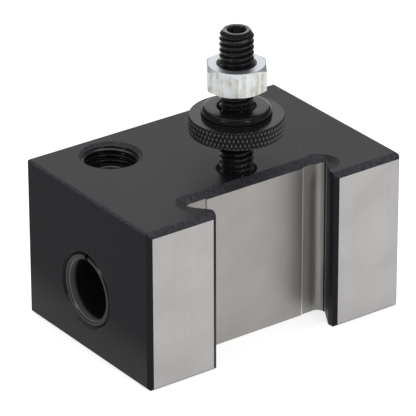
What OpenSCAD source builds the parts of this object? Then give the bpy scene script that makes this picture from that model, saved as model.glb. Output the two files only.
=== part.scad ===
// Boring bar holder for a dovetail quick change tool post.
// Frame: origin under the middle of the block, +X along the block, the dovetail socket
// faces -Y, +Z up. The tool bore runs along X. All sizes are millimetres.

/* [Block] */
// Length of the block, along the tool bore
block_l = 76.2; // [74:0.1:90]
// Depth of the block, from the dovetail face to the back
block_w = 52; // [50:0.5:60]
// Height of the block
block_h = 42.3; // [41:0.1:46]
// Chamfer along the top of the two ground pads
pad_top_break = 1.4; // [0.5:0.1:1.6]
// Chamfer on the upright edge between the near end and the ground pad
corner_break = 1.2; // [0.4:0.1:1.5]
// Chamfer on all the other outer edges
edge_break = 0.5; // [0.3:0.1:0.8]

/* [Dovetail socket] */
// Width of the opening between the two ground pads
socket_open = 38.1; // [34:0.1:40]
// Depth of the ground floor below the pads
socket_depth = 10; // [9:0.1:10.5]
// Angle of each flank, measured from the pads
flank_angle = 60; // [57:0.5:62]
// Radius left by the cutter in each deep corner
socket_round = 2; // [1.5:0.1:2.2]
// Depth of the shallow step beside each deep corner
floor_step = 0.25; // [0.1:0.05:0.4]
// Half width of the floor that is ground
ground_half = 14.6; // [12:0.1:15]
// Distance from the block's middle to the middle of the ground floor
ground_shift = 0.85; // [-1:0.05:1]
// Depth of the straight wall inside each pad, before the flank starts
wall_depth = 2.3; // [2:0.1:3]
// Width of the chamfer along the top of the floor
floor_top_break = 2.3; // [1.8:0.1:2.6]
// Drop of the chamfer along the top of the floor
floor_top_drop = 1.55; // [1.2:0.05:1.8]

/* [Tool bore and sleeve] */
// Height of the tool bore's axis above the base
bore_z = 16.4; // [16:0.1:18]
// Distance from the dovetail face to the tool bore's axis
bore_from_face = 26.9; // [26:0.1:28]
// Diameter of the bore that takes the split sleeve
bore_d = 19.12; // [19.1:0.01:19.2]
// Diameter of the split sleeve, outside
sleeve_od = 19; // [18.95:0.01:19.05]
// Diameter of the split sleeve, inside: the tool shank it holds
sleeve_id = 15.88; // [12.7:0.01:16]
// Width of the saw cut along the sleeve
slit_w = 1.5; // [1:0.1:2]

/* [Height adjustment] */
// Distance from the block's middle to the stud's axis, along the block
stud_x = 0.5; // [-1:0.1:1]
// Distance from the dovetail face to the stud's axis
stud_from_face = 17.3; // [17:0.1:17.6]
// Major diameter of the stud's thread
stud_d = 8.45; // [7.9:0.05:8.6]
// Height of the stud's top above the block
stud_reach = 37; // [34:0.1:40]
// Length of the stud
stud_l = 50.8; // [50:0.1:51]
// Diameter of the knurled nut
knurl_d = 23.8; // [20:0.1:25]
// Thickness of the knurled nut's rim
knurl_t = 4.6; // [4:0.1:5]
// Diameter of the knurled nut's boss
boss_d = 17.3; // [15:0.1:18]
// Height of the boss above the rim
boss_t = 2.1; // [1.8:0.1:2.5]
// Gap between the block and the knurled nut
nut_lift = 10.15; // [10.1:0.05:12]
// Width of the lock nut across its flats
lock_af = 14.29; // [13.5:0.01:15]
// Thickness of the lock nut
lock_t = 6.35; // [6:0.05:7]
// Gap between the knurled nut's boss and the lock nut
lock_gap = 5; // [4.9:0.1:5.5]
// Turn of the lock nut about the stud
lock_turn = 56; // [0:1:60]

/* [Clamp screws] */
// Distance from the block's middle to each clamp screw
clamp_x = 20.1; // [18:0.1:22]
// Distance from the dovetail face to the clamp screws
clamp_from_face = 41.6; // [41.4:0.1:42]
// Major diameter of the clamp screw's thread
clamp_d = 14.22; // [14:0.01:14.25]
// Length of a clamp screw
clamp_l = 12.7; // [12:0.1:13]
// Depth of a clamp screw's top below the block's top
clamp_sink = 5; // [5:0.1:5.6]
// Width of a clamp screw's hexagon socket
clamp_key = 6.35; // [5:0.05:7]
// Diameter of the plug under each clamp screw
plug_d = 12.82; // [12.7:0.01:12.84]
// Slope of the flat on each plug, from the vertical
plug_slope = 8; // [6:0.5:9]

/* [Hidden] */

$fn = 96;
black_steel = [0.13, 0.13, 0.14];
dark_steel = [0.09, 0.09, 0.10];
zinc_steel = [0.80, 0.81, 0.80];

// Places worked out from the driving dimensions.
face_y = -block_w / 2;
bore_y = face_y + bore_from_face;
stud_y = face_y + stud_from_face;
clamp_y = face_y + clamp_from_face;
floor_y = face_y + socket_depth;

// Clearances between the turned pieces.
thread_gap = 0.05;
plug_gap = 0.04;
stud_tip_gap = 0.4;

// Countersink of the stud's hole, and width of the hexagon socket in the stud's top.
stud_sink = 0.9;
stud_key = 3.97;

// Corner flat on each pad's inner edge, the straight wall behind it, and the flank behind that.
lip_x = 1.2;
lip_y = 0.65;
deep = socket_depth + floor_step;
throat_half = socket_open / 2 - lip_x;
corner_half = throat_half + (deep - wall_depth) / tan(flank_angle);
tangent = socket_round / tan(flank_angle / 2);
round_half = corner_half - tangent;
round_y = deep - socket_round;

// Heights along the stud.
rim_z = block_h + nut_lift;
boss_z = rim_z + knurl_t;
lock_z = boss_z + boss_t + lock_gap;
stud_top = block_h + stud_reach;
stud_floor = stud_top - stud_l;

// Heights in a clamp hole, from the top down.
screw_z = block_h - clamp_sink - clamp_l;
shoulder_z = 22.5;
plug_z = 6;
hole_floor = 3.5;

// A bar of square section, turned so that it takes a chamfer of a given size off an edge along X.
module bevel_x(length, size) {
    side = size * sqrt(2);
    rotate([45, 0, 0]) cube([length, side, side], center = true);
}

module bevel_y(length, size) rotate([0, 0, 90]) bevel_x(length, size);

module bevel_z(length, size) rotate([0, 90, 0]) bevel_x(length, size);

// Cutter for a drilled hole along Z whose mouth is at the origin, with a 45 degree countersink.
module drilled(radius, depth, sink) {
    translate([0, 0, -depth]) cylinder(r = radius, h = depth + 1);
    translate([0, 0, -sink]) cylinder(r1 = radius, r2 = radius + sink, h = sink);
    cylinder(r = radius + sink, h = 1);
}

// One side of the socket's plan, from the mouth inwards: the corner flat, the wall, the flank and
// the step up to the ground floor, whose edge is given.
function side_points(ground_edge) = [
    [socket_open / 2, -1],
    [socket_open / 2, 0],
    [throat_half, lip_y],
    [throat_half, wall_depth],
    [corner_half - tangent * cos(flank_angle), deep - tangent * sin(flank_angle)],
    [round_half, deep],
    [ground_edge + floor_step, deep],
    [ground_edge, socket_depth],
];

module socket_plan() {
    far = side_points(ground_half + ground_shift);
    near = side_points(ground_half - ground_shift);
    polygon(concat(far, [for (i = [len(near) - 1:-1:0]) [-near[i][0], near[i][1]]]));
    for (side = [-1, 1])
        translate([side * round_half, round_y]) circle(r = socket_round + 0.05);
}

// The chamfer tool runs along the top of the floor and leaves a round end at each side. Beyond it,
// the top is hollowed a little round each deep corner.
module socket_top() {
    end_x = round_half + 0.5;
    end_r = floor_top_break + 0.7;
    end_shift = 0.3;
    slope = floor_top_drop / floor_top_break;
    hollow_r = 4.6;
    hollow_depth = 0.55;
    hollow_x = round_half + 0.2;
    hollow_y = round_y - 0.65;
    translate([-end_x, socket_depth, 0]) rotate([90, 0, 90]) linear_extrude(2 * end_x) polygon([
        [-1, -floor_top_drop - slope],
        [floor_top_break + 1, slope],
        [-1, slope],
    ]);
    for (side = [-1, 1]) {
        translate([side * end_x, socket_depth - end_shift, -end_r * slope])
            cylinder(r1 = 0, r2 = 2 * end_r, h = 2 * end_r * slope);
        translate([side * hollow_x, hollow_y, -hollow_depth])
            cylinder(r1 = 0, r2 = 2 * hollow_r, h = 2 * hollow_depth);
    }
}

module socket() {
    translate([0, face_y, -1]) linear_extrude(block_h + 2) socket_plan();
    translate([0, face_y, block_h]) socket_top();
}

module block_edges() {
    translate([0, face_y, block_h]) bevel_x(block_l + 2, pad_top_break);
    translate([0, face_y, 0]) bevel_x(block_l + 2, edge_break);
    for (z = [0, block_h]) {
        translate([0, -face_y, z]) bevel_x(block_l + 2, edge_break);
        for (side = [-1, 1])
            translate([side * block_l / 2, 0, z]) bevel_y(block_w + 2, edge_break);
    }
    translate([-block_l / 2, face_y, block_h / 2]) bevel_z(block_h + 2, corner_break);
    translate([block_l / 2, face_y, block_h / 2]) bevel_z(block_h + 2, edge_break);
    for (side = [-1, 1])
        translate([side * block_l / 2, -face_y, block_h / 2]) bevel_z(block_h + 2, edge_break);
}

module tool_bore() {
    sink = 0.8;
    translate([0, bore_y, bore_z]) rotate([0, 90, 0]) {
        cylinder(d = bore_d, h = block_l + 2, center = true);
        for (end = [0, 1])
            mirror([0, 0, end])
                translate([0, 0, block_l / 2 - sink])
                    cylinder(d1 = bore_d, d2 = bore_d + 4 * sink, h = 2 * sink);
    }
}

// Threaded above the shoulder for the screw, plain below it for the plug.
module clamp_hole() {
    sink = 0.75;
    drilled(clamp_d / 2 + thread_gap, block_h - shoulder_z, sink);
    translate([0, 0, hole_floor - block_h])
        cylinder(d = plug_d + 2 * plug_gap, h = block_h - hole_floor - 1);
}

module holder_block() {
    color(black_steel) difference() {
        translate([-block_l / 2, face_y, 0]) cube([block_l, block_w, block_h]);
        block_edges();
        socket();
        tool_bore();
        translate([stud_x, stud_y, block_h])
            drilled(stud_d / 2 + thread_gap, block_h - stud_floor + stud_tip_gap, stud_sink);
        for (side = [-1, 1])
            translate([side * clamp_x, clamp_y, block_h]) clamp_hole();
    }
}

// A screw body along Z from the origin: a cylinder with both ends chamfered, and a key socket.
module socket_screw(diameter, length, end_break, key, key_depth) {
    radius = diameter / 2;
    difference() {
        rotate_extrude() polygon([
            [0, 0],
            [radius - end_break, 0],
            [radius, end_break],
            [radius, length - end_break],
            [radius - end_break, length],
            [0, length],
        ]);
        translate([0, 0, length - key_depth])
            rotate([0, 0, 20]) cylinder(d = key / cos(30), h = key_depth + 1, $fn = 6);
        translate([0, 0, length - 0.15 * key])
            cylinder(d1 = 0.9 * key, d2 = 1.5 * key, h = 0.3 * key);
    }
}

module height_stud() {
    color(dark_steel) translate([stud_x, stud_y, stud_floor])
        socket_screw(stud_d, stud_l, end_break = 0.7, key = stud_key, key_depth = 4.5);
}

module knurled_nut() {
    rim_r = knurl_d / 2;
    boss_r = boss_d / 2;
    hole_r = stud_d / 2 + thread_gap;
    lead = 0.65;
    soft = 0.35;
    total = knurl_t + boss_t;
    color(dark_steel) translate([stud_x, stud_y, rim_z]) rotate_extrude() polygon([
        [hole_r, lead],
        [hole_r + lead, 0],
        [rim_r - soft, 0],
        [rim_r, soft],
        [rim_r, knurl_t - soft],
        [rim_r - soft, knurl_t],
        [boss_r, knurl_t],
        [boss_r, total - soft],
        [boss_r - soft, total],
        [hole_r + lead, total],
        [hole_r, total - lead],
    ]);
}

module lock_nut() {
    hole_r = stud_d / 2 + thread_gap;
    lead = 0.65;
    crown_share = 0.98;
    corner_r = lock_af / 2 / cos(30);
    crown_r = lock_af / 2 * crown_share;
    crown_h = (corner_r + 1 - crown_r) * tan(30);
    color(zinc_steel) translate([stud_x, stud_y, lock_z]) intersection() {
        rotate([0, 0, lock_turn]) cylinder(r = corner_r, h = lock_t, $fn = 6);
        rotate_extrude() polygon([
            [hole_r, lead],
            [hole_r + lead, 0],
            [crown_r, 0],
            [corner_r + 1, crown_h],
            [corner_r + 1, lock_t - crown_h],
            [crown_r, lock_t],
            [hole_r + lead, lock_t],
            [hole_r, lock_t - lead],
        ]);
    }
}

// The sleeve ends just inside the bore's countersink at each end. Its saw cut faces up.
module split_sleeve() {
    half = block_l / 2 - 0.25;
    outer = sleeve_od / 2;
    inner = sleeve_id / 2;
    soft = 0.4;
    color(black_steel) translate([0, bore_y, bore_z]) difference() {
        rotate([0, 90, 0]) rotate_extrude() polygon([
            [inner, -half + soft],
            [inner + soft, -half],
            [outer - soft, -half],
            [outer, -half + soft],
            [outer, half - soft],
            [outer - soft, half],
            [inner + soft, half],
            [inner, half - soft],
        ]);
        translate([-half - 1, -slit_w / 2, inner / 2]) cube([2 * half + 2, slit_w, outer]);
    }
}

module clamp_screw(side) {
    color(dark_steel) translate([side * clamp_x, clamp_y, screw_z])
        socket_screw(clamp_d, clamp_l, end_break = 0.8, key = clamp_key, key_depth = 6.5);
}

// A plain plug with a sloping flat. Driven down, the flat closes on the sleeve's side.
module clamp_plug(side) {
    radius = plug_d / 2;
    top = screw_z - 0.02;
    soft = 0.5;
    flat_gap = 0.42;
    flat_y = bore_y + sleeve_od / 2 + flat_gap - clamp_y;
    color(black_steel) translate([side * clamp_x, clamp_y, 0]) difference() {
        translate([0, 0, plug_z]) rotate_extrude() polygon([
            [0, 0],
            [radius - soft, 0],
            [radius, soft],
            [radius, top - plug_z],
            [0, top - plug_z],
        ]);
        translate([0, flat_y, bore_z]) rotate([plug_slope, 0, 0])
            translate([-plug_d, -plug_d, -2 * plug_d]) cube([2 * plug_d, plug_d, 4 * plug_d]);
    }
}

holder_block();
height_stud();
knurled_nut();
lock_nut();
split_sleeve();
clamp_screw(-1);  // clamp_screw_near
clamp_screw(1);  // clamp_screw_far
clamp_plug(-1);  // clamp_plug_near
clamp_plug(1);  // clamp_plug_far
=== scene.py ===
"""Boring bar holder for a dovetail quick change tool post: its looks, camera, floor and light."""

import logging
import math
from collections.abc import Sequence
from dataclasses import dataclass, field
from enum import Enum
from typing import Any

import bpy
import numpy as np
from bpy.types import NodeSocket, NodeTree
from mathutils import Matrix, Vector


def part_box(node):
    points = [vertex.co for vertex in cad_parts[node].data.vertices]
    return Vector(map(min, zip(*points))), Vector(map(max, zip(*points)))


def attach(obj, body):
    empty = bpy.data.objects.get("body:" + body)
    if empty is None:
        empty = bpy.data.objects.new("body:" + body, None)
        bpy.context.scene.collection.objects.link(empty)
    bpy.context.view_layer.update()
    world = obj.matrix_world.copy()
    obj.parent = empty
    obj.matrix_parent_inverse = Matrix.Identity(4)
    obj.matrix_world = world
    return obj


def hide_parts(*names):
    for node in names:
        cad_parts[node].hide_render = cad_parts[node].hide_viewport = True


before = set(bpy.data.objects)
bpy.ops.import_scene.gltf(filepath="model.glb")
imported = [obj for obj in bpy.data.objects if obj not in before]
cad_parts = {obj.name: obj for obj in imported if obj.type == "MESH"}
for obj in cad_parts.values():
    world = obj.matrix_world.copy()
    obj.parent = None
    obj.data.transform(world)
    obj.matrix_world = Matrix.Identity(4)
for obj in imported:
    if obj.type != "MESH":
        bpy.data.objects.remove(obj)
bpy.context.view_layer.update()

MM = 0.001
TURN = 2 * math.pi
LOG = logging.getLogger("boring_bar_holder")


# --------------------------------------------------------------------------------------------
# Helpers for meshes and node trees


def linear(code: str) -> tuple[float, ...]:
    """Turns an sRGB hex code into a linear colour.

    Args:
        code: six hex digits, such as "2a2b2e".

    Returns:
        Linear red, green, blue and an alpha of 1.
    """
    parts = np.array([int(code[i : i + 2], 16) for i in (0, 2, 4)]) / 255
    low = parts / 12.92
    high = ((parts + 0.055) / 1.055) ** 2.4
    return *np.where(parts <= 0.04045, low, high).tolist(), 1.0


def add(
    tree: NodeTree, kind: str, inputs: dict[Any, Any] | None = None, **settings: Any
) -> bpy.types.Node:
    """Adds a node with its settings, values and links.

    Args:
        tree: the material's node tree.
        kind: the node's type, such as "ShaderNodeMath".
        inputs: input name or number to a value, or to the output socket that feeds it.
        settings: the node's own properties.

    Returns:
        The new node.
    """
    node = tree.nodes.new(kind)
    for key, value in settings.items():
        setattr(node, key, value)
    for key, value in (inputs or {}).items():
        if isinstance(value, NodeSocket):
            tree.links.new(value, node.inputs[key])
        else:
            node.inputs[key].default_value = value
    return node


def calculate(tree: NodeTree, operation: str, *values: NodeSocket | float) -> NodeSocket:
    """The result of a math node, such as "MULTIPLY", on the values."""
    return add(tree, "ShaderNodeMath", dict(enumerate(values)), operation=operation).outputs[0]


def noise(tree: NodeTree, place: NodeSocket, size: float, detail: float) -> NodeSocket:
    """Noise whose spots are about size millimetres apart."""
    inputs = {"Vector": place, "Scale": 1 / (size * MM), "Detail": detail}
    return add(tree, "ShaderNodeTexNoise", inputs).outputs["Fac"]


def drawn_out(tree: NodeTree, place: NodeSocket, times: float) -> NodeSocket:
    """Coordinates in which a pattern comes out the given number of times longer along Z."""
    return add(tree, "ShaderNodeMapping", {"Vector": place, "Scale": (1, 1, 1 / times)}).outputs[0]


def spread(
    tree: NodeTree,
    value: NodeSocket,
    low: float,
    high: float,
    source: tuple[float, float] = (0.0, 1.0),
    smooth: bool = False,
) -> NodeSocket:
    """Carries a value from one range to another, and holds it at the ends.

    Args:
        tree: the material's node tree.
        value: the value.
        low: the result at the start of the source range.
        high: the result at its end.
        source: the source range.
        smooth: whether the result eases in and out, or follows a straight line.

    Returns:
        The result.
    """
    inputs = {"Value": value, "From Min": source[0], "From Max": source[1], "To Min": low, "To Max": high}
    kind = "SMOOTHSTEP" if smooth else "LINEAR"
    return add(tree, "ShaderNodeMapRange", inputs, interpolation_type=kind).outputs["Result"]


def mix_values(
    tree: NodeTree, share: NodeSocket | float, first: NodeSocket, second: NodeSocket
) -> NodeSocket:
    """The first value where the share is 0, the second where it is 1."""
    return add(tree, "ShaderNodeMix", {0: share, 2: first, 3: second}).outputs[0]


def mix_colours(
    tree: NodeTree, share: NodeSocket, first: NodeSocket, second: NodeSocket | tuple[float, ...]
) -> NodeSocket:
    """The first colour where the share is 0, the second where it is 1."""
    return add(tree, "ShaderNodeMix", {0: share, 6: first, 7: second}, data_type="RGBA").outputs[2]


def ramp(tree: NodeTree, factor: NodeSocket, stops: list[tuple[float, str]]) -> NodeSocket:
    """Adds a colour ramp.

    Args:
        tree: the material's node tree.
        factor: the socket that drives it.
        stops: position and sRGB hex code of each stop, in order.

    Returns:
        The ramp's colour output.
    """
    node = add(tree, "ShaderNodeValToRGB", {"Fac": factor})
    elements = node.color_ramp.elements
    while len(elements) < len(stops):
        elements.new(0.5)
    for element, (position, code) in zip(elements, stops):
        element.position = position
        element.color = linear(code)
    return node.outputs["Color"]


def parts(tree: NodeTree, vector: NodeSocket) -> tuple[NodeSocket, ...]:
    """The X, Y and Z of a vector."""
    return tuple(add(tree, "ShaderNodeSeparateXYZ", {"Vector": vector}).outputs)


def facing(tree: NodeTree) -> tuple[NodeSocket, ...]:
    """Splits the direction that the surface faces, in the object's own axes.

    Args:
        tree: the material's node tree.

    Returns:
        Its X, Y and Z.
    """
    normal = add(tree, "ShaderNodeNewGeometry").outputs["True Normal"]
    settings = {"vector_type": "NORMAL", "convert_from": "WORLD", "convert_to": "OBJECT"}
    return parts(tree, add(tree, "ShaderNodeVectorTransform", {"Vector": normal}, **settings).outputs[0])


def from_axis(
    tree: NodeTree, place: NodeSocket, across: tuple[int, int, int], centre: tuple[float, float, float]
) -> NodeSocket:
    """Distance from an axis, in metres.

    Args:
        tree: the material's node tree.
        place: Object coordinates, in metres.
        across: 1 for each direction across the axis, 0 for the one along it.
        centre: where the axis crosses the plane of those directions, in millimetres.

    Returns:
        The distance.
    """
    flat = add(tree, "ShaderNodeVectorMath", {0: place, 1: across}, operation="MULTIPLY").outputs[0]
    point = tuple(value * MM for value in centre)
    return add(tree, "ShaderNodeVectorMath", {0: flat, 1: point}, operation="DISTANCE").outputs["Value"]


def roughen(
    tree: NodeTree, shader: bpy.types.Node, height: NodeSocket, depth: float, strength: float
) -> None:
    """Lets a pattern raise and lower the shader's surface by a depth in millimetres."""
    bump = add(tree, "ShaderNodeBump", {"Height": height, "Distance": depth * MM, "Strength": strength})
    tree.links.new(bump.outputs["Normal"], shader.inputs["Normal"])


def grid_object(name: str, points: np.ndarray, poles: bool, sharp: float) -> bpy.types.Object:
    """Makes a closed surface from rings of points.

    Each ring closes on itself, and quads join neighbouring rings. Without poles the last ring joins
    the first. With poles the first and last rings each shrink to one point, with triangles round it.

    Args:
        name: the object's name.
        points: rings by points by 3, in millimetres, anticlockwise seen from above on an upward run.
        poles: whether the surface ends in two points, or is a closed band.
        sharp: edges that bend by more than this many degrees are drawn sharp.

    Returns:
        The new object, linked to the scene.
    """
    rings, count = points.shape[:2]
    here = np.arange(count)
    after = np.roll(here, -1)
    if poles:
        vertices = np.vstack([points[0, :1], points[1:-1].reshape(-1, 3), points[-1, :1]])
        lower = 1 + np.arange(rings - 3)[:, None] * count
        upper = lower + count
        tip = len(vertices) - 1
        last = tip - count
        fans = [
            np.stack([np.zeros_like(here), 1 + after, 1 + here], axis=-1),
            np.stack([last + here, last + after, np.full_like(here, tip)], axis=-1),
        ]
    else:
        vertices = points.reshape(-1, 3)
        lower = np.arange(rings)[:, None] * count
        upper = np.roll(lower, -1, axis=0)
        fans = []
    quads = np.stack([lower + here, lower + after, upper + after, upper + here], axis=-1).reshape(-1, 4)
    mesh = bpy.data.meshes.new(name)
    faces = [face for part in (quads, *fans) for face in part.tolist()]
    mesh.from_pydata((vertices * MM).tolist(), [], faces)
    mesh.update()
    mesh.polygons.foreach_set("use_smooth", np.ones(len(faces), bool))
    mesh.set_sharp_from_angle(angle=math.radians(sharp))
    made = bpy.data.objects.new(name, mesh)
    bpy.context.scene.collection.objects.link(made)
    return made


def column(values: Sequence[float]) -> np.ndarray:
    """The values one above the other, to spread along rings."""
    return np.array(values)[:, None]


def around(
    radius: np.ndarray, height: np.ndarray, angle: np.ndarray, centre: tuple[float, float]
) -> np.ndarray:
    """Places radius and height at each angle about an upright axis: x = cx + r cos a, y = cy + r sin a.

    Args:
        radius: rings by points.
        height: rings by points.
        angle: one per point, in radians.
        centre: the axis, in millimetres.

    Returns:
        Rings by points by 3.
    """
    x = centre[0] + radius * np.cos(angle)
    y = centre[1] + radius * np.sin(angle)
    return np.stack([x, y, height], axis=-1)


def hexagon(across: float, angle: np.ndarray, turn: float) -> np.ndarray:
    """Radius of a hexagon at each angle: half its width across flats over cos(angle from the nearest flat).

    Args:
        across: width across flats.
        angle: one per point, in radians.
        turn: the angle of one corner, in radians.

    Returns:
        One radius per point.
    """
    from_flat = np.mod(angle - turn, TURN / 6) - TURN / 12
    return across / 2 / np.cos(from_flat)


# --------------------------------------------------------------------------------------------
# Finishes


@dataclass(frozen=True)
class Finish:
    """A surface finish. Each kind adds its own nodes in dress."""

    name: str

    def material(self) -> bpy.types.Material:
        """Makes the material, with a Principled shader and Object coordinates."""
        made = bpy.data.materials.new(self.name)
        made.use_nodes = True
        tree = made.node_tree
        tree.nodes.clear()
        shader = add(tree, "ShaderNodeBsdfPrincipled")
        add(tree, "ShaderNodeOutputMaterial", {"Surface": shader.outputs["BSDF"]})
        place = add(tree, "ShaderNodeTexCoord").outputs["Object"]
        self.dress(tree, shader, place)
        return made

    def dress(self, tree: NodeTree, shader: bpy.types.Node, place: NodeSocket) -> None:
        """Adds the finish's nodes.

        Args:
            tree: the material's node tree.
            shader: its Principled shader.
            place: Object coordinates, in metres.
        """
        raise NotImplementedError


@dataclass(frozen=True)
class BlackOxide(Finish):
    """Chemically blacked steel on a turned or rolled part: nearly black, with an oiled gloss."""

    roughness: float = 0.3
    specular: float = 0.5
    tints: tuple[str, str] = ("101012", "1a1a1c")
    grain_size: float = 0.6
    grain_depth: float = 0.005

    def dress(self, tree: NodeTree, shader: bpy.types.Node, place: NodeSocket) -> None:
        """Adds a mottled black, with slightly uneven gloss and a fine grain.

        Args:
            tree: the material's node tree.
            shader: its Principled shader.
            place: Object coordinates, in metres.
        """
        grain = noise(tree, place, self.grain_size, 4)
        black = ramp(tree, grain, list(zip((0.3, 0.7), self.tints)))
        tree.links.new(black, shader.inputs["Base Color"])
        gloss = spread(tree, grain, self.roughness - 0.04, self.roughness + 0.06)
        tree.links.new(gloss, shader.inputs["Roughness"])
        roughen(tree, shader, grain, self.grain_depth, 0.5)
        shader.inputs["Specular IOR Level"].default_value = self.specular

    def paint_light(self, tree: NodeTree, shader: bpy.types.Node, stains_and_light: NodeSocket, tint: str) -> None:
        """Paints light over the black: mixes it to a tint where the share is 1."""
        black = shader.inputs["Base Color"].links[0].from_socket
        tree.links.new(mix_colours(tree, stains_and_light, black, linear(tint)), shader.inputs["Base Color"])


@dataclass(frozen=True)
class LitMouthBoreOxide(BlackOxide):
    """Black oxide on the sleeve: dull black outside, and painted grey just inside each mouth of its bore as
    painted light, standing in for the light that falls into the mouth, so the mouth shows as a pale ring
    round a dark hole."""

    # Painted light on the bore's wall near its mouths.
    painted_light_tint: str = "5c5c5e"
    wall_radius: float = 8.15
    lit_from: float = 35.4
    lit_to: float = 36.6
    axis_y: float = 0.0
    axis_z: float = 0.0

    def dress(self, tree: NodeTree, shader: bpy.types.Node, place: NodeSocket) -> None:
        """Adds the black, and pales the bore's wall towards its mouths as painted light.

        Args:
            tree: the material's node tree.
            shader: its Principled shader.
            place: Object coordinates, in metres.
        """
        super().dress(tree, shader, place)
        # Painted light: the wall is painted grey towards each mouth, standing in for the light that falls
        # into the bore there.
        away = from_axis(tree, place, (0, 1, 1), (0, self.axis_y, self.axis_z))
        inside = calculate(tree, "LESS_THAN", away, self.wall_radius * MM)
        along = calculate(tree, "ABSOLUTE", parts(tree, place)[0])
        mouth = spread(tree, along, 0, 1, (self.lit_from * MM, self.lit_to * MM), smooth=True)
        self.paint_light(tree, shader, calculate(tree, "MULTIPLY", inside, mouth), self.painted_light_tint)


@dataclass(frozen=True)
class KnurledOxide(BlackOxide):
    """Black oxide on a knurled rim: the tips of the diamonds are painted paler and given more shine, a
    painted highlight standing in for the glints of light on them, and the grooves stay black, so the rim
    glitters while the smooth faces stay dark."""

    # Painted highlight on the tips of the diamonds, and their shine.
    painted_light_tint: str = "353537"
    tip_specular: float = 0.6
    axis_x: float = 0.0
    axis_y: float = 0.0
    groove_radius: float = 11.5
    tip_radius: float = 11.9

    def dress(self, tree: NodeTree, shader: bpy.types.Node, place: NodeSocket) -> None:
        """Adds the black, and pales it by the distance from the nut's axis, as a painted highlight on the
        tips.

        Args:
            tree: the material's node tree.
            shader: its Principled shader.
            place: Object coordinates, in metres.
        """
        super().dress(tree, shader, place)
        away = from_axis(tree, place, (1, 1, 0), (self.axis_x, self.axis_y, 0))
        # Painted highlight: the tips are painted paler and shine more, standing in for the glints of light
        # on them.
        stains_and_light = spread(tree, away, 0, 1, (self.groove_radius * MM, self.tip_radius * MM), smooth=True)
        self.paint_light(tree, shader, stains_and_light, self.painted_light_tint)
        shine = spread(tree, stains_and_light, self.specular, self.tip_specular)
        tree.links.new(shine, shader.inputs["Specular IOR Level"])


@dataclass(frozen=True)
class BrightZinc(Finish):
    """Clear chromate zinc plate: pale and silvery, with soft warm and blue patches, faint upright
    drawing marks under the plate, and duller turned faces."""

    tones: tuple[str, str, str] = ("acaea6", "d0d1ce", "d8dde1")
    turned: str = "a3a6aa"

    def dress(self, tree: NodeTree, shader: bpy.types.Node, place: NodeSocket) -> None:
        """Adds a pale metal with patches a few millimetres wide and a fine grain.

        Args:
            tree: the material's node tree.
            shader: its Principled shader.
            place: Object coordinates, in metres.
        """
        patch = noise(tree, place, 2.5, 3)
        marks = noise(tree, drawn_out(tree, place, 15), 0.8, 2)
        mottle = mix_values(tree, 0.5, patch, marks)
        tone = ramp(tree, mottle, list(zip((0.36, 0.5, 0.64), self.tones)))
        looks_up = calculate(tree, "GREATER_THAN", facing(tree)[2], 0.3)
        tone = mix_colours(tree, looks_up, tone, linear(self.turned))
        tree.links.new(tone, shader.inputs["Base Color"])
        grain = noise(tree, place, 0.25, 3)
        tree.links.new(spread(tree, grain, 0.36, 0.55), shader.inputs["Roughness"])
        roughen(tree, shader, grain, 0.02, 0.7)
        shader.inputs["Metallic"].default_value = 1.0


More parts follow.
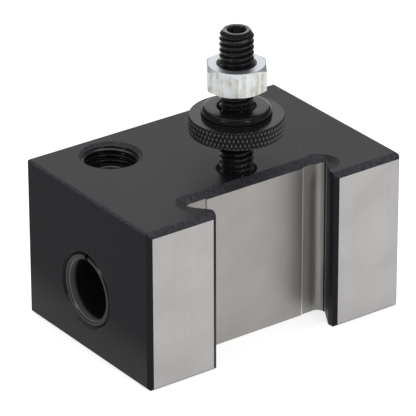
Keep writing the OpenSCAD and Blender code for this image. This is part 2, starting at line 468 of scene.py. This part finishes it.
@dataclass(frozen=True)
class BlackedAndGround(Finish):
    """The block: satin black oxide all over, then surface ground on the pads and the socket's floor.

    Grinding takes the black off and leaves pale steel with fine upright lines. The dovetail cutter
    leaves the bottom corners of the socket bright too, but darker and more streaked. The chamfers
    are a mottled, slightly paler black, and the near end is given more shine towards its bottom, a painted
    sheen.
    """

    floor_y: float = -16.0
    ground_half: float = 14.6
    ground_shift: float = 0.85
    corner_half: float = 21.0
    corner_front: float = -19.0
    black: tuple[str, str] = ("18171a", "1f1e22")
    dust: str = "88888c"
    chamfer_black: tuple[str, str] = ("2d2d30", "3d3c41")
    # Painted shade on the shallow hollows on the top.
    hollow_painted_shade: str = "131315"
    pad_steel: tuple[str, str] = ("a6a4a3", "b0aead")
    floor_steel: tuple[str, str] = ("9b9896", "a3a09d")
    milled_steel: tuple[str, str] = ("8b8987", "a5a3a0")
    # Painted highlight on the step at the ground floor's far edge.
    step_painted_highlight: str = "f0eeec"

    def within(self, tree: NodeTree, value: NodeSocket, low: float, high: float) -> NodeSocket:
        """1 where the value lies between low and high, 0 elsewhere."""
        return calculate(tree, "COMPARE", value, (low + high) / 2, (high - low) / 2)

    def all_of(self, tree: NodeTree, *tests: NodeSocket) -> NodeSocket:
        """Joins tests.

        Args:
            tree: the material's node tree.
            tests: outputs that are 0 or 1.

        Returns:
            1 where every test is 1.
        """
        result = tests[0]
        for test in tests[1:]:
            result = calculate(tree, "MULTIPLY", result, test)
        return result

    def masks(self, tree: NodeTree, place: NodeSocket) -> dict[str, NodeSocket]:
        """Finds each kind of face by its place and by the direction that it faces.

        Args:
            tree: the material's node tree.
            place: Object coordinates, in metres.

        Returns:
            By name, outputs that are 1 on: the pads, all faces cut by the dovetail cutter, the ground
            floor, the step at its far edge, the near end, the sloping chamfers, and the shallow
            hollows; also on all bare steel, and on the part of it that is ground.
        """
        sideways, back, up = facing(tree)
        x, y, _ = parts(tree, place)
        left, right = self.ground_shift - self.ground_half, self.ground_shift + self.ground_half
        to_front = self.within(tree, back, -1.1, -0.99)
        cut = self.all_of(
            tree,
            self.within(tree, back, -1.1, 0.45),
            self.within(tree, up, -0.3, 0.3),
            self.within(tree, x, -self.corner_half * MM, self.corner_half * MM),
            self.within(tree, y, self.corner_front * MM, (self.floor_y + 0.5) * MM),
        )
        pad = self.all_of(tree, to_front, self.within(tree, y, -1, (self.floor_y - 9.5) * MM))
        floor = self.all_of(tree, cut, to_front, self.within(tree, x, left * MM, right * MM))
        # The step's strip, which gets a painted highlight.
        step = self.all_of(tree, cut, self.within(tree, x, (right - 0.12) * MM, (right + 0.3) * MM))
        return {
            "pad": pad,
            "cut": cut,
            "floor": floor,
            "step": step,
            "end": self.within(tree, sideways, -1.1, -0.95),
            "chamfer": self.within(tree, up, 0.35, 0.95),
            "hollow": self.within(tree, up, 0.98, 0.998),
            "bare": calculate(tree, "MAXIMUM", pad, cut),
            "ground": calculate(tree, "MAXIMUM", pad, floor),
        }

    def specks(self, tree: NodeTree, place: NodeSocket) -> NodeSocket:
        """Scatters specks of dust up to 0.25 mm across, at most one in each 5 mm cell.

        Args:
            tree: the material's node tree.
            place: Object coordinates, in metres.

        Returns:
            1 on the specks, 0 elsewhere.
        """
        cells = add(tree, "ShaderNodeTexVoronoi", {"Vector": place, "Scale": 1 / (5 * MM)})
        chance = add(tree, "ShaderNodeSeparateColor", {"Color": cells.outputs["Color"]}).outputs[0]
        radius = spread(tree, chance, 0, 0.025, (0.4, 1))
        return calculate(tree, "LESS_THAN", cells.outputs["Distance"], radius)

    def colour(
        self,
        tree: NodeTree,
        place: NodeSocket,
        on: dict[str, NodeSocket],
        lines: NodeSocket,
        grain: NodeSocket,
    ) -> NodeSocket:
        """Lays each kind of face's colour over the black.

        Args:
            tree: the material's node tree.
            place: Object coordinates, in metres.
            on: the masks.
            lines: the grinding and milling lines.
            grain: the black's grain.

        Returns:
            The colour.
        """
        # Stains a centimetre or so wide cloud the ground faces, and 1 mm blotches the chamfers.
        stains_and_light = mix_values(tree, 0.65, lines, noise(tree, place, 9, 4))
        blotch = noise(tree, place, 0.9, 3)
        colour = ramp(tree, grain, list(zip((0.3, 0.7), self.black)))
        layers = [
            (self.specks(tree, place), linear(self.dust)),
            (on["chamfer"], ramp(tree, blotch, list(zip((0.35, 0.65), self.chamfer_black)))),
            # Painted shade: the shallow hollows on the top are painted darker than the rest of the black.
            (on["hollow"], linear(self.hollow_painted_shade)),
            (on["cut"], ramp(tree, lines, list(zip((0.3, 0.7), self.milled_steel)))),
            (on["floor"], ramp(tree, stains_and_light, list(zip((0.35, 0.65), self.floor_steel)))),
            # Painted highlight: a near-white strip on the step at the ground floor's far edge, standing in
            # for the glint of light on its edge.
            (on["step"], linear(self.step_painted_highlight)),
            (on["pad"], ramp(tree, stains_and_light, list(zip((0.35, 0.65), self.pad_steel)))),
        ]
        for mask, layer in layers:
            colour = mix_colours(tree, mask, colour, layer)
        return colour

    def dress(self, tree: NodeTree, shader: bpy.types.Node, place: NodeSocket) -> None:
        """Adds the black, ground and milled finishes, and picks between them.

        Args:
            tree: the material's node tree.
            shader: its Principled shader.
            place: Object coordinates, in metres.
        """
        on = self.masks(tree, place)
        lines = noise(tree, drawn_out(tree, place, 60), 0.35, 3)
        grain = noise(tree, place, 0.4, 5)
        tree.links.new(self.colour(tree, place, on, lines, grain), shader.inputs["Base Color"])
        # Milled steel scatters more than ground steel, so it is given less of the metal's reflection.
        share = spread(tree, on["ground"], 0.55, 0.9)
        tree.links.new(self.all_of(tree, on["bare"], share), shader.inputs["Metallic"])
        satin, brushed = spread(tree, grain, 0.34, 0.48), spread(tree, lines, 0.42, 0.5)
        tree.links.new(mix_values(tree, on["bare"], satin, brushed), shader.inputs["Roughness"])
        # The shallow hollows get less shine, along with their painted shade. Painted sheen: the near end's
        # specular level rises towards the bottom, standing in for the brighter light reflected there from
        # the floor in front.
        sheen = spread(tree, on["hollow"], 0.065, 0.03)
        end_painted_sheen = spread(tree, parts(tree, place)[2], 0.12, 0.03, (0, 16 * MM), smooth=True)
        tree.links.new(mix_values(tree, on["end"], sheen, end_painted_sheen), shader.inputs["Specular IOR Level"])
        roughen(tree, shader, mix_values(tree, on["bare"], grain, lines), 0.004, 0.5)


# --------------------------------------------------------------------------------------------
# Sub-assemblies


class Body(Enum):
    """The CAD bodies that pieces ride on."""

    HOLDER = "holder"
    KNURLED_NUT = "knurled_nut"
    LOCK_NUT = "lock_nut"
    SLEEVE = "sleeve"
    SCREW_NEAR = "screw_near"
    SCREW_FAR = "screw_far"


class Slot(Enum):
    """The record's material slots."""

    BLOCK = "black_oxide_block"
    HARDWARE = "black_oxide_hardware"
    ZINC = "zinc_plate"


@dataclass(frozen=True)
class Place:
    """Axis and ends of an upright piece, in millimetres, from its CAD node's box."""

    x: float
    y: float
    low: float
    high: float
    radius: float

    @classmethod
    def of(cls, node: str) -> "Place":
        """Reads the place of a CAD node from its box.

        Args:
            node: the node's name.

        Returns:
            Its place.
        """
        low, high = (np.array(corner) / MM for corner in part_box(node))
        middle = (low + high) / 2
        return cls(middle[0], middle[1], low[2], high[2], (high[0] - low[0]) / 2)


def mount(
    made: bpy.types.Object,
    finish: bpy.types.Material,
    body: Body,
    slot: Slot,
    *nodes: str,
) -> None:
    """Gives a piece its finish and body, and lets it stand for CAD nodes.

    Args:
        made: the piece.
        finish: its material.
        body: the CAD body it rides on.
        slot: the record's slot of its finish; not used.
        nodes: the CAD nodes that it replaces.
    """
    made.data.materials.append(finish)
    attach(made, body.value)
    if nodes:
        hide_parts(*nodes)
    LOG.info("%s: %d faces on %s", made.name, len(made.data.polygons), body.value)


@dataclass(frozen=True)
class Thread:
    """A right-handed 60 degree thread, in millimetres."""

    radius: float
    pitch: float
    lowered: float = 0.0
    depth_share: float = 0.6

    def radii(self, angle: np.ndarray, height: np.ndarray) -> np.ndarray:
        """Radius at each angle and height.

        The distance along the axis from the nearest crest, whose height rises by one pitch a turn,
        gives the depth: nothing on the narrow crest, then the 60 degree flank, then the root.

        Args:
            angle: one per point, in radians.
            height: rings by 1, in millimetres.

        Returns:
            Rings by points.
        """
        phase = (height + self.lowered) / self.pitch - angle / TURN
        away = np.abs(phase - np.round(phase)) * self.pitch
        flank = (away - self.pitch / 14) * math.tan(math.radians(60))
        return self.radius - np.clip(flank, 0, self.depth_share * self.pitch)


@dataclass
class SocketScrew:
    """A threaded stud or set screw with a hexagon socket in its top."""

    name: str
    node: str
    body: Body
    finish: Finish
    pitch: float
    key: float
    key_depth: float
    end_break: float
    lowered: float = 0.0
    key_turn: float = 20.0
    columns: int = 72
    rows_a_turn: int = 28
    place: Place = field(init=False)

    def __post_init__(self) -> None:
        """Takes the place from the CAD node."""
        self.place = Place.of(self.node)

    def shank(self, angle: np.ndarray) -> tuple[np.ndarray, np.ndarray]:
        """The thread between its two ends, cut back by a cone at each, the upper one a little flatter.

        Args:
            angle: one per point, in radians.

        Returns:
            Radius and height, rings by points.
        """
        low, high = self.place.low, self.place.high
        rows = int((high - low) / self.pitch * self.rows_a_turn)
        height = np.linspace(low, high, rows)[:, None]
        radius = Thread(self.place.radius, self.pitch, self.lowered).radii(angle, height)
        face = self.place.radius - self.end_break
        lower = face + (height - low)
        upper = face + (high - height) * 0.8
        radius = np.minimum(radius, np.minimum(lower, upper))
        return radius, np.broadcast_to(height, radius.shape)

    def build(self) -> None:
        """Carries the profile round the axis: end, thread, top face, socket chamfer, socket, its floor."""
        angle = np.arange(self.columns) / self.columns * TURN
        radius, height = self.shank(angle)
        corner = hexagon(self.key, angle, math.radians(self.key_turn))
        mouth = np.maximum(self.key * 0.6, corner + 0.02)
        flat = np.zeros(self.columns)
        radius = np.vstack([flat, radius, mouth + 0.12, mouth, corner, corner, flat])
        drop = [0, 0.1, 0.1 + self.key * 0.08, self.key_depth, self.key_depth + self.key * 0.15]
        upper = self.place.high - np.array(drop)[:, None] + flat
        height = np.vstack([self.place.low + flat, height, upper])
        points = around(radius, height, angle, (self.place.x, self.place.y))
        made = grid_object(self.name, points, poles=True, sharp=80)
        mount(made, self.finish.material(), self.body, Slot.HARDWARE, self.node)


@dataclass
class TappedHole:
    """The thread cut in the block round one clamp screw. It stays in mesh with the screw as that turns."""

    name: str
    screw: str
    pitch: float = 1.411
    mouth_radius: float = 7.1
    mouth_drop: float = 0.75
    minor_radius: float = 6.45
    wall_radius: float = 7.2
    floor: float = 22.55
    clearance: float = 0.045
    columns: int = 96
    rows_a_turn: int = 28

    def build(self) -> None:
        """Carries the profile round the axis: down the thread, then up the outer wall inside the block.

        The thread is the screw's own, moved out by the clearance, cut off at the minor radius,
        and opened by the 45 degree countersink at the top.
        """
        place = Place.of(self.screw)
        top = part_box("holder_block")[1].z / MM - self.mouth_drop
        angle = np.arange(self.columns) / self.columns * TURN
        rows = int((top - self.floor) / self.pitch * self.rows_a_turn)
        height = np.linspace(top, self.floor, rows)[:, None]
        radius = Thread(place.radius + self.clearance, self.pitch).radii(angle, height)
        radius = np.maximum(np.maximum(radius, self.minor_radius), self.mouth_radius - (top - height))
        wall = np.full((2, self.columns), self.wall_radius)
        height = np.vstack([height, [[self.floor], [top]]]) + np.zeros(self.columns)
        points = around(np.vstack([radius, wall]), height, angle, (place.x, place.y))
        made = grid_object(self.name, points, poles=False, sharp=80)
        finish = BlackOxide("black_oxide_tapped_thread", roughness=0.25, specular=0.3)
        mount(made, finish.material(), Body.HOLDER, Slot.BLOCK)


@dataclass
class KnurledNut:
    """The height nut: a diamond knurled rim and a smooth raised boss."""

    name: str = "knurled_height_nut"
    node: str = "knurled_nut"
    rim: float = 4.6
    boss_radius: float = 8.65
    boss_round: float = 1.3
    hole_radius: float = 4.3
    lead: float = 0.65
    edge: float = 0.35
    teeth: int = 68
    knurl_depth: float = 0.45
    knurl_lean: float = 24.0
    knurl_flat: float = 1.35
    bevel_slope: float = 0.8
    fillet: float = 0.15
    columns_a_tooth: int = 10
    rows: int = 40
    boss_rows: int = 12

    def knurl(self, angle: np.ndarray, height: np.ndarray, radius: float) -> np.ndarray:
        """Rim radius: two families of V grooves, leaning the same way to the left and to the right.

        Each family is a triangle wave of the angle plus or minus a shift that grows with height.
        The deeper groove of the two wins, and the tips between them are cut a little flat.

        Args:
            angle: one per point, in radians.
            height: rings by 1, from the rim's underside.
            radius: the crest's radius.

        Returns:
            Rings by points.
        """
        lean = height * math.tan(math.radians(self.knurl_lean)) / radius
        left = np.mod((angle + lean) * self.teeth / TURN, 1)
        right = np.mod((angle - lean) * self.teeth / TURN, 1)
        ridge = np.minimum(np.minimum(left, 1 - left), np.minimum(right, 1 - right)) * 2
        return radius - self.knurl_depth * (1 - np.clip(ridge * self.knurl_flat, 0, 1))

    def side(self, angle: np.ndarray, low: float, radius: float) -> tuple[np.ndarray, np.ndarray]:
        """The knurled rim from its underside up, with both of its edges bevelled.

        Args:
            angle: one per point, in radians.
            low: height of the rim's underside.
            radius: the crest's radius.

        Returns:
            Radius and height, rings by points.
        """
        wall = np.linspace(low, low + self.rim, self.rows)[:, None]
        from_edge = np.minimum(wall - low, low + self.rim - wall)
        bevel = radius - self.edge + from_edge * self.bevel_slope
        side = np.minimum(self.knurl(angle, wall - low, radius), bevel)
        return side, np.broadcast_to(wall, side.shape)

    def build(self) -> None:
        """Carries the closed profile round the axis, from the hole's top, down, out and back.

        The boss ends in a quarter circle: from its wall the radius shrinks by r (1 - cos b) and the
        height grows by r sin b, up to the top.
        """
        place = Place.of(self.node)
        count = self.teeth * self.columns_a_tooth
        angle = np.arange(count) / count * TURN
        low, high, lead = place.low, place.high, self.lead
        side, wall = self.side(angle, low, place.radius)
        bend = np.linspace(0, TURN / 4, self.boss_rows)
        boss = self.boss_radius - self.boss_round * (1 - np.cos(bend))
        crown = high - self.boss_round * (1 - np.sin(bend))
        shoulder = low + self.rim
        hole = [self.hole_radius + lead, self.hole_radius, self.hole_radius, self.hole_radius + lead]
        foot = [self.boss_radius + self.fillet, self.boss_radius]
        flat = np.zeros(count)
        radius = np.vstack([column(hole) + flat, side, column([*foot, *boss]) + flat])
        inner = [high, high - lead, low + lead, low]
        outer = [shoulder, shoulder + self.fillet, *crown]
        height = np.vstack([column(inner) + flat, wall, column(outer) + flat])
        points = around(radius, height, angle, (place.x, place.y))
        made = grid_object(self.name, points, poles=False, sharp=28)
        finish = KnurledOxide(
            "black_oxide_knurled_steel",
            roughness=0.2,
            specular=0.1,
            axis_x=place.x,
            axis_y=place.y,
            groove_radius=place.radius - self.knurl_depth,
            tip_radius=place.radius,
        )
        mount(made, finish.material(), Body.KNURLED_NUT, Slot.HARDWARE, self.node)


@dataclass
class LockNut:
    """The zinc plated hexagon nut."""

    name: str = "hexagon_lock_nut"
    node: str = "lock_nut"
    across: float = 14.29
    corner_turn: float = 56.0
    hole_radius: float = 4.3
    lead: float = 0.65
    crown_share: float = 0.98
    columns: int = 144
    rows: int = 9

    def build(self) -> None:
        """Carries the profile round the axis.

        The chamfer cone rises 1 for every 1.73 outwards and meets each flat in a curved edge, so the
        flat starts at the height where cone and hexagon agree.
        """
        place = Place.of(self.node)
        turn = math.radians(self.corner_turn)
        angle = turn + np.arange(self.columns) / self.columns * TURN
        flat = hexagon(self.across, angle, turn)
        crown = self.across / 2 * self.crown_share
        rise = (flat - crown) * math.tan(math.radians(30))
        low, high, lead = place.low, place.high, self.lead
        side = low + rise + column(np.linspace(0, 1, self.rows)) * (high - low - 2 * rise)
        hole = [self.hole_radius + lead, self.hole_radius, self.hole_radius, self.hole_radius + lead, crown]
        level = np.zeros(self.columns)
        radius = np.vstack([column(hole) + level, np.broadcast_to(flat, side.shape), crown + level])
        inner = [high, high - lead, low + lead, low, low]
        height = np.vstack([column(inner) + level, side, high + level])
        points = around(radius, height, angle, (place.x, place.y))
        made = grid_object(self.name, points, poles=False, sharp=25)
        mount(made, BrightZinc("clear_zinc_plated_steel").material(), Body.LOCK_NUT, Slot.ZINC, self.node)


@dataclass
class HolderBlock:
    """The machined block, the split sleeve and the plugs, which keep their CAD shapes and get finishes."""

    block: Finish = BlackedAndGround("black_oxide_and_surface_ground_steel")
    plug: Finish = BlackOxide("black_oxide_plug", roughness=0.4)
    sleeve_roughness: float = 0.3
    sleeve_specular: float = 0.15

    def dress(self, node: str, finish: Finish) -> None:
        """Puts a finish on a CAD node.

        Args:
            node: the node's name.
            finish: the finish.
        """
        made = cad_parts[node]
        made.data.materials.clear()
        made.data.materials.append(finish.material())
        LOG.info("%s: finished in %s", node, finish.name)

    def sleeve(self) -> Finish:
        """The sleeve's finish, worn round the axis of its bore."""
        low, high = (np.array(corner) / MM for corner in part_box("split_sleeve"))
        _, y, z = (low + high) / 2
        return LitMouthBoreOxide(
            "black_oxide_turned_sleeve",
            roughness=self.sleeve_roughness,
            specular=self.sleeve_specular,
            axis_y=y,
            axis_z=z,
        )

    def build(self) -> None:
        """Dresses the block, the sleeve and the plugs."""
        self.dress("holder_block", self.block)
        self.dress("split_sleeve", self.sleeve())
        for node in ("clamp_plug_near", "clamp_plug_far"):
            self.dress(node, self.plug)


# --------------------------------------------------------------------------------------------
# Stage


@dataclass(frozen=True)
class SoftLight:
    """A square soft light aimed at the block: its place and side in metres, its power in watts."""

    name: str
    spot: tuple[float, float, float]
    size: float
    power: float
    aim: tuple[float, float, float] = (0, 0, 0.03)

    def build(self) -> None:
        """Adds the light."""
        data = bpy.data.lights.new(self.name, "AREA")
        data.shape = "SQUARE"
        data.size = self.size
        data.energy = self.power
        made = bpy.data.objects.new(self.name, data)
        bpy.context.scene.collection.objects.link(made)
        made.location = self.spot
        made.rotation_euler = (Vector(self.aim) - Vector(self.spot)).to_track_quat("-Z", "Y").to_euler()


@dataclass
class Studio:
    """Camera, pale floor and soft light. Angles are in degrees, and the camera's sizes in millimetres."""

    azimuth: float = 35.93
    elevation: float = 26.34
    roll: float = -0.18
    distance: float = 919.0
    lens: float = 319.5
    aim: tuple[float, float, float] = (0.43, 3.13, 26.7)
    floor_half: float = 4000.0
    floor_drop: float = 0.02
    world_strength: float = 0.25
    lights: tuple[SoftLight, ...] = (
        SoftLight("overhead", (0.1, 0.2, 1.2), 1.2, 12),
        SoftLight("back_right", (0.68, 0.94, 0.58), 0.9, 5),
        SoftLight("front_right", (0.9, -1.0, 0.5), 0.8, 1.5),
        SoftLight("glint_left", (-1.0, -0.1, 0.75), 0.12, 3.5),
        SoftLight("glint_right", (0.05, -1.0, 0.75), 0.12, 3.5),
    )

    def camera(self) -> None:
        """Sets the camera on its line of sight, aimed a little above the block's middle."""
        turn, lift = math.radians(self.azimuth), math.radians(self.elevation)
        sight = Vector((math.sin(turn) * math.cos(lift), math.cos(turn) * math.cos(lift), -math.sin(lift)))
        data = bpy.data.cameras.new("camera")
        data.lens = self.lens
        data.clip_end = 20
        made = bpy.data.objects.new("camera", data)
        bpy.context.scene.collection.objects.link(made)
        spot = Matrix.Translation(Vector(self.aim) * MM - sight * self.distance * MM)
        look = sight.to_track_quat("-Z", "Y").to_matrix().to_4x4()
        made.matrix_world = spot @ look @ Matrix.Rotation(math.radians(self.roll), 4, "Z")
        bpy.context.scene.camera = made

    def paper(self) -> bpy.types.Material:
        """The floor's material: matte white paper, bright all over."""
        made = bpy.data.materials.new("white_paper_floor")
        made.use_nodes = True
        shader = made.node_tree.nodes["Principled BSDF"]
        shader.inputs["Base Color"].default_value = linear("aaaaaa")
        shader.inputs["Roughness"].default_value = 0.9
        shader.inputs["Emission Color"].default_value = linear("ffffff")
        shader.inputs["Emission Strength"].default_value = 0.75
        return made

    def floor(self) -> None:
        """Lays the floor, a wide square just below the block's underside."""
        mesh = bpy.data.meshes.new("floor")
        square = np.array([(-1, -1), (1, -1), (1, 1), (-1, 1)]) * self.floor_half
        corners = np.column_stack([square, np.full(4, -self.floor_drop)]) * MM
        mesh.from_pydata(corners.tolist(), [], [(0, 1, 2, 3)])
        mesh.update()
        mesh.materials.append(self.paper())
        made = bpy.data.objects.new("floor", mesh)
        bpy.context.scene.collection.objects.link(made)

    def build(self) -> None:
        """Sets up camera, floor, lights and world."""
        self.camera()
        self.floor()
        for light in self.lights:
            light.build()
        world = bpy.data.worlds.new("studio")
        bpy.context.scene.world = world
        world.use_nodes = True
        back = world.node_tree.nodes["Background"]
        back.inputs["Color"].default_value = linear("ffffff")
        back.inputs["Strength"].default_value = self.world_strength
        bpy.context.scene.view_settings.view_transform = "Standard"


def main() -> None:
    """Builds the pieces in order, then the stage."""
    logging.basicConfig(level=logging.INFO, format="%(name)s: %(message)s")
    HolderBlock().build()
    glossy = BlackOxide("black_oxide_rolled_thread", roughness=0.1, specular=0.25)
    SocketScrew(
        name="height_adjusting_stud",
        node="height_stud",
        body=Body.HOLDER,
        finish=glossy,
        pitch=1.48,
        key=3.97,
        key_depth=4.5,
        end_break=0.85,
        lowered=0.52,
    ).build()
    for side, body in (("near", Body.SCREW_NEAR), ("far", Body.SCREW_FAR)):
        TappedHole(f"tapped_clamp_hole_{side}", f"clamp_screw_{side}").build()
        SocketScrew(
            name=f"clamp_set_screw_{side}",
            node=f"clamp_screw_{side}",
            body=body,
            finish=glossy,
            pitch=1.411,
            key=6.35,
            key_depth=6.5,
            end_break=0.9,
            columns=96,
        ).build()
    KnurledNut().build()
    LockNut().build()
    Studio().build()


if __name__ == "__main__":
    main()
